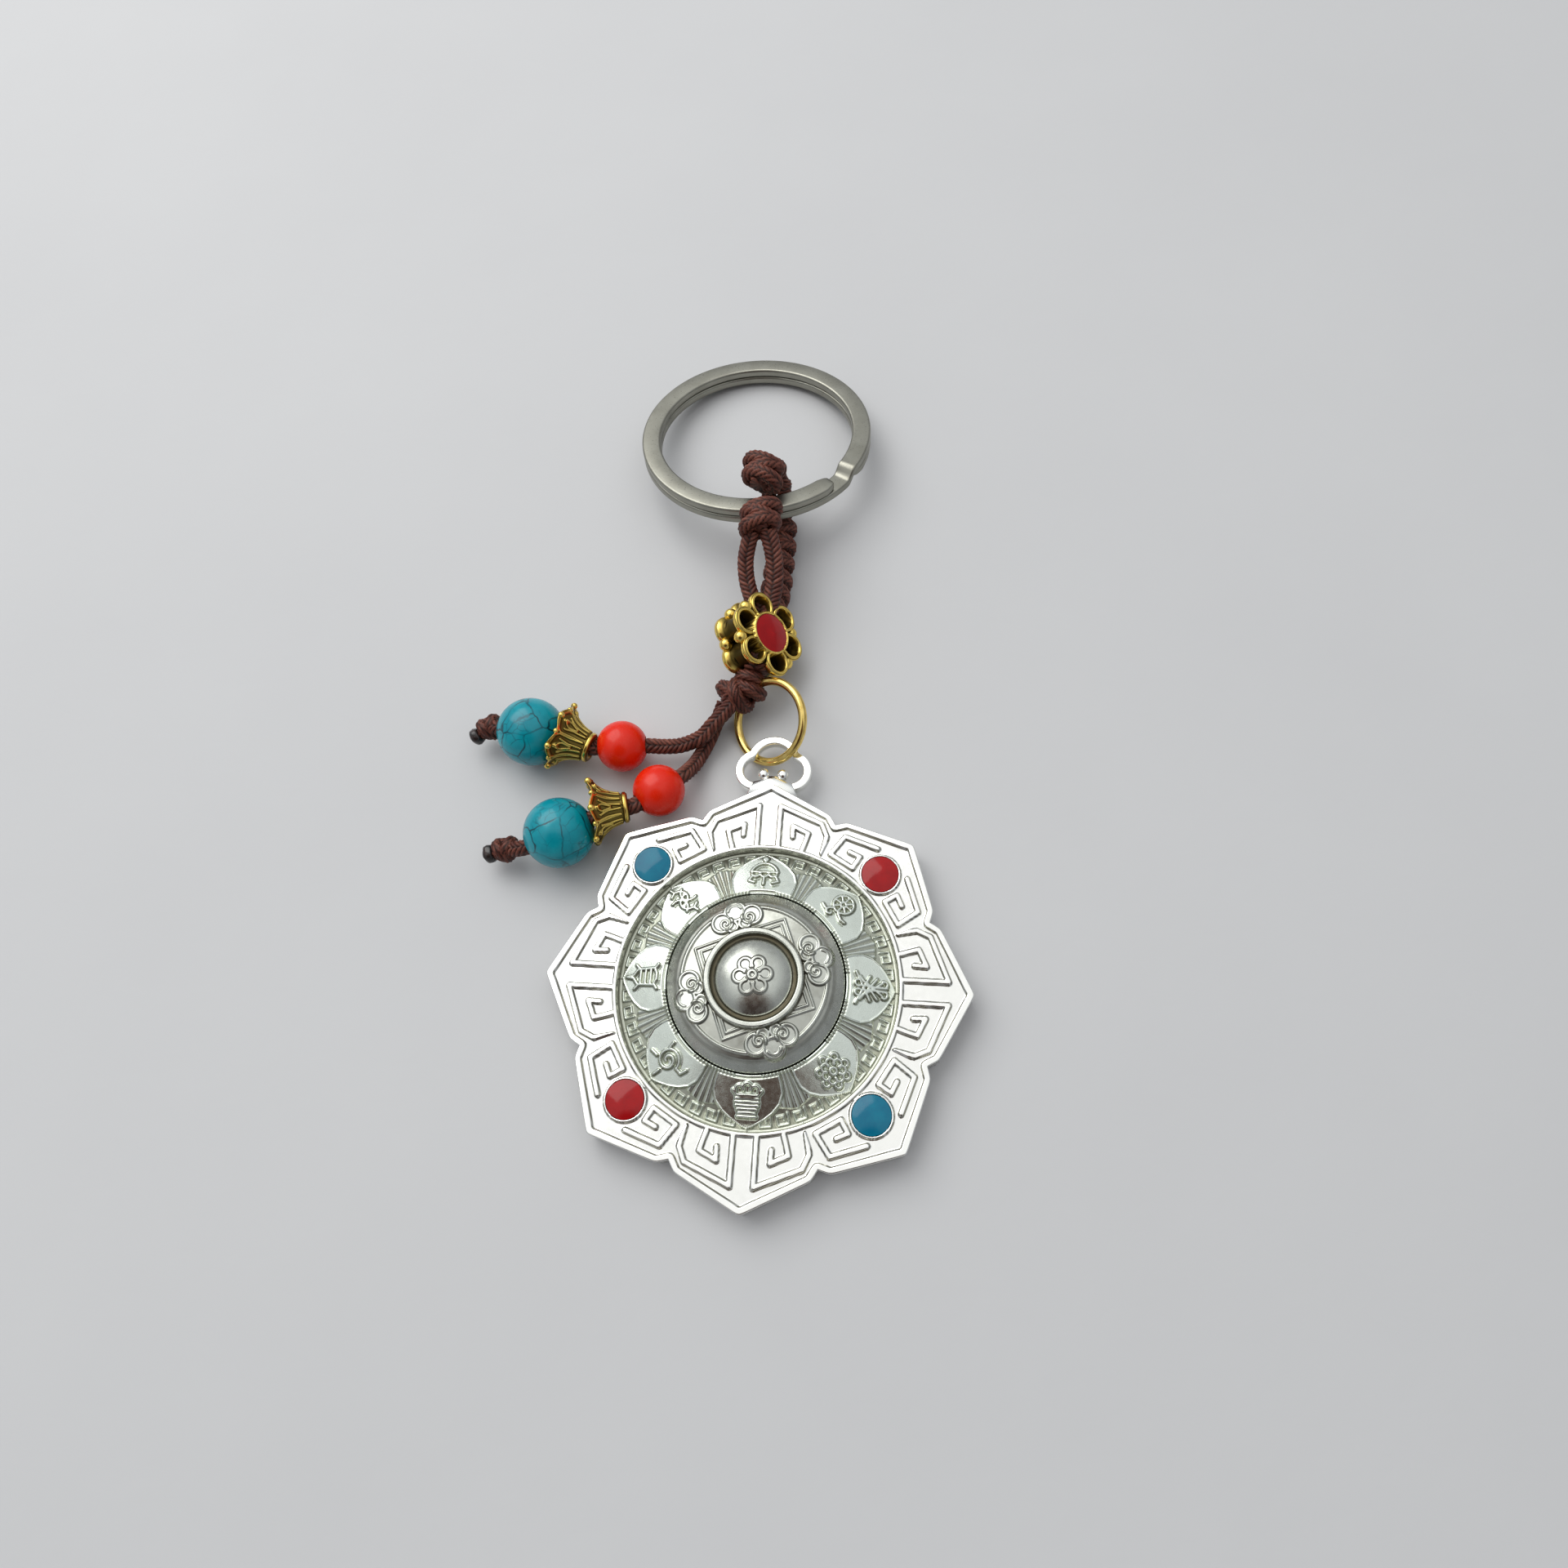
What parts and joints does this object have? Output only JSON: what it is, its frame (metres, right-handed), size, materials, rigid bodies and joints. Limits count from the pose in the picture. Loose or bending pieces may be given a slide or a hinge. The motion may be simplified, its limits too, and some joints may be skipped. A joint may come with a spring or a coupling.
{
  "type": "key-ring prayer wheel",
  "caption": "Pocket prayer wheel: a turning hub in an eight-lobed lotus frame, hung by a jump ring from a knotted, beaded cord on a split key ring.",
  "frame": {"origin": "where the wheel's axis meets the plane of the frame's back face", "axes": "+Z the way the frame faces, +Y from the wheel towards the key ring, +X to the right seen from the front"},
  "size_m": [0.0602, 0.1097, 0.0118],
  "materials": {
    "silver_bright": "bright polished silver plating on a zinc casting",
    "silver_antique": "satin antique silver plating",
    "enamel_teal": "glossy opaque enamel",
    "enamel_red": "glossy opaque enamel",
    "steel_plain": "plain steel",
    "gold_wire": "polished gold plating",
    "gold_antique": "antique gold with black recesses",
    "cord_brown": "braided nylon",
    "cord_melted": "melted nylon",
    "coral_red": "satin-gloss resin coral",
    "turquoise": "polished dyed stone with dark veins",
    "nickel": "nickel-plated spring steel, satin faces"
  },
  "bodies": {
    "medallion": {"lotus_frame": "silver_bright", "petal_ring": "silver_antique", "teal_enamel": "enamel_teal", "red_enamel": "enamel_red", "axle_rivet": "steel_plain", "thrust_washer": "gold_wire", "retaining_washer": "steel_plain"},
    "wheel": {"hub_drum": "silver_antique", "dome_cap": "silver_antique"},
    "jump_ring": {"jump_ring": "gold_wire"},
    "strap": {"button_knot": "cord_brown", "bore_cord": "cord_brown", "flower_bead": "gold_antique", "flower_enamel_front": "enamel_red", "flower_enamel_back": "enamel_red", "left_front_strand": "cord_brown", "right_front_strand": "cord_brown", "front_knots": "cord_brown", "loop_fold": "cord_brown", "rear_sinnet": "cord_brown", "upper_tail_cord": "cord_brown", "lower_tail_cord": "cord_brown", "upper_end_knot": "cord_brown", "lower_end_knot": "cord_brown", "upper_sealed_tip": "cord_melted", "lower_sealed_tip": "cord_melted"},
    "upper_coral": {"upper_coral_bead": "coral_red"},
    "lower_coral": {"lower_coral_bead": "coral_red"},
    "upper_cap": {"upper_bead_cap": "gold_antique"},
    "lower_cap": {"lower_bead_cap": "gold_antique"},
    "upper_turquoise": {"upper_turquoise_bead": "turquoise"},
    "lower_turquoise": {"lower_turquoise_bead": "turquoise"},
    "key_ring": {"split_ring": "nickel"}
  },
  "joints": [
    {"name": "wheel_spin", "type": "hinge", "parent": "medallion", "child": "wheel", "pos_m": [0, 0, 0], "axis": [0, 0, 1], "continuous": true},
    {"name": "jump_ring_swing", "type": "hinge", "parent": "medallion", "child": "jump_ring", "pos_m": [-0.00076, 0.0274, 0.0021], "axis": [0.8716, -0.1146, 0.4765], "range_deg": [-4, 7]},
    {"name": "strap_swing", "type": "hinge", "parent": "jump_ring", "child": "strap", "pos_m": [-0.00391, 0.03435, 0.00287], "axis": [-0.555, -0.574, -0.602], "range_deg": [-3, 12]},
    {"name": "key_ring_tilt", "type": "hinge", "parent": "strap", "child": "key_ring", "pos_m": [-0.0055, 0.05825, 0.00658], "axis": [1, 0, 0], "range_deg": [0, 100]},
    {"name": "upper_coral_spin", "type": "hinge", "parent": "strap", "child": "upper_coral", "pos_m": [-0.018, 0.027, 0.0034], "axis": [-0.988, -0.1172, 0.1005], "continuous": true},
    {"name": "lower_coral_spin", "type": "hinge", "parent": "strap", "child": "lower_coral", "pos_m": [-0.013, 0.0216, 0.0034], "axis": [-0.7498, -0.6475, 0.1363], "continuous": true},
    {"name": "upper_cap_spin", "type": "hinge", "parent": "strap", "child": "upper_cap", "pos_m": [-0.0214, 0.0264, 0.0038], "axis": [-0.9387, 0.3129, 0.1444], "continuous": true},
    {"name": "lower_cap_spin", "type": "hinge", "parent": "strap", "child": "lower_cap", "pos_m": [-0.0162, 0.0193, 0.0038], "axis": [-0.956, -0.2516, 0.1509], "continuous": true},
    {"name": "upper_turquoise_spin", "type": "hinge", "parent": "strap", "child": "upper_turquoise", "pos_m": [-0.0288, 0.028, 0.0045], "axis": [-0.9946, 0.1033, -0.0129], "continuous": true},
    {"name": "lower_turquoise_spin", "type": "hinge", "parent": "strap", "child": "lower_turquoise", "pos_m": [-0.0236, 0.0156, 0.0045], "axis": [-0.8977, -0.436, -0.0641], "continuous": true}
  ]
}
